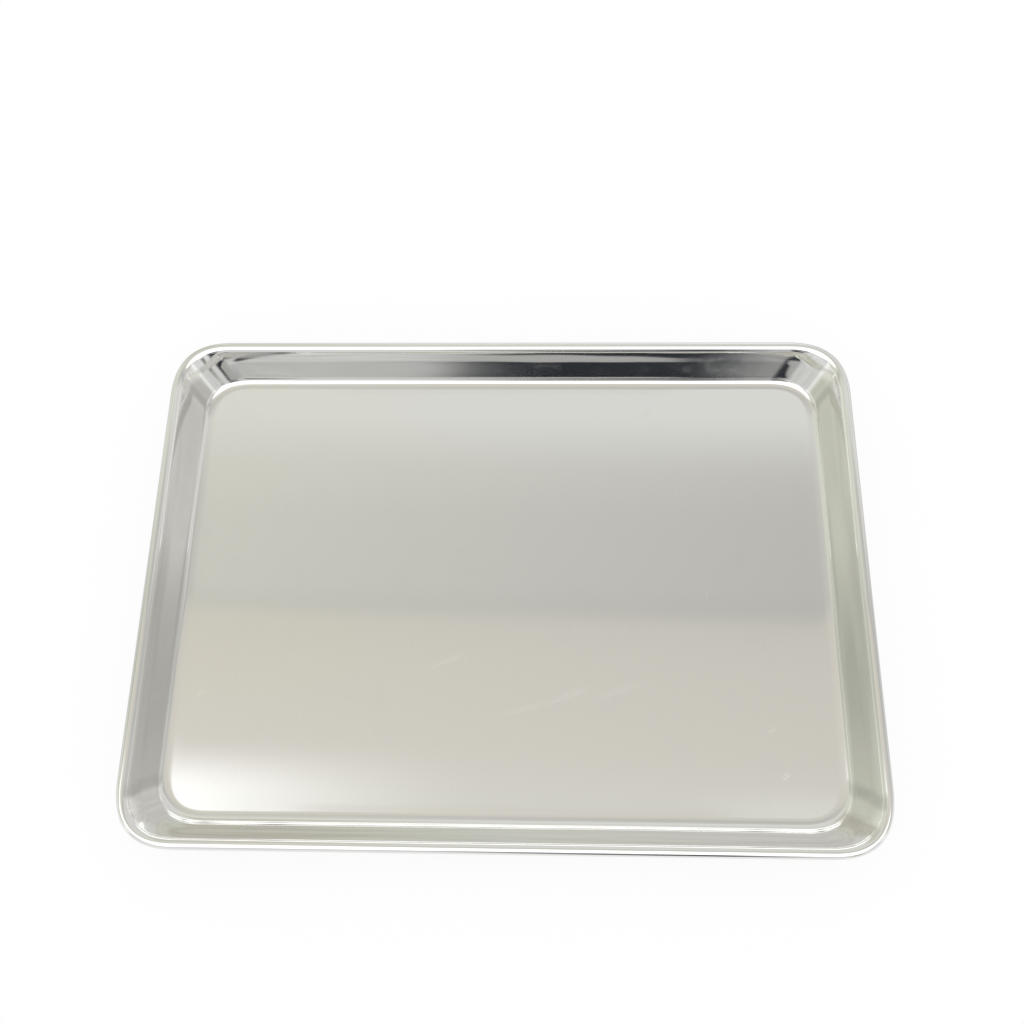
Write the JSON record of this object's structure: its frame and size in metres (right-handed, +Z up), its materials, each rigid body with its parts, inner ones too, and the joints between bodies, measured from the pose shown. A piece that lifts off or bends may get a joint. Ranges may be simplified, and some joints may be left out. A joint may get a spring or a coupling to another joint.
{
  "type": "sheet pan",
  "caption": "Shallow rectangular aluminium sheet pan with a flat floor, flared walls, round corners and a rolled rim stiffened by a steel wire, for baking and roasting.",
  "frame": {"origin": "middle of the underside of the floor, where the pan stands", "axes": "+X along the pan's length, +Y along its width, towards the side with the wire's butt, +Z up out of the pan"},
  "size_m": [0.457, 0.33, 0.0305],
  "materials": {
    "aluminium_sheet": "bright rolled sheet, satin floor and drawn walls",
    "steel_wire": "galvanised drawn wire"
  },
  "bodies": {
    "root": {"pan_body": "aluminium_sheet", "rim_wire": "steel_wire"}
  },
  "joints": []
}
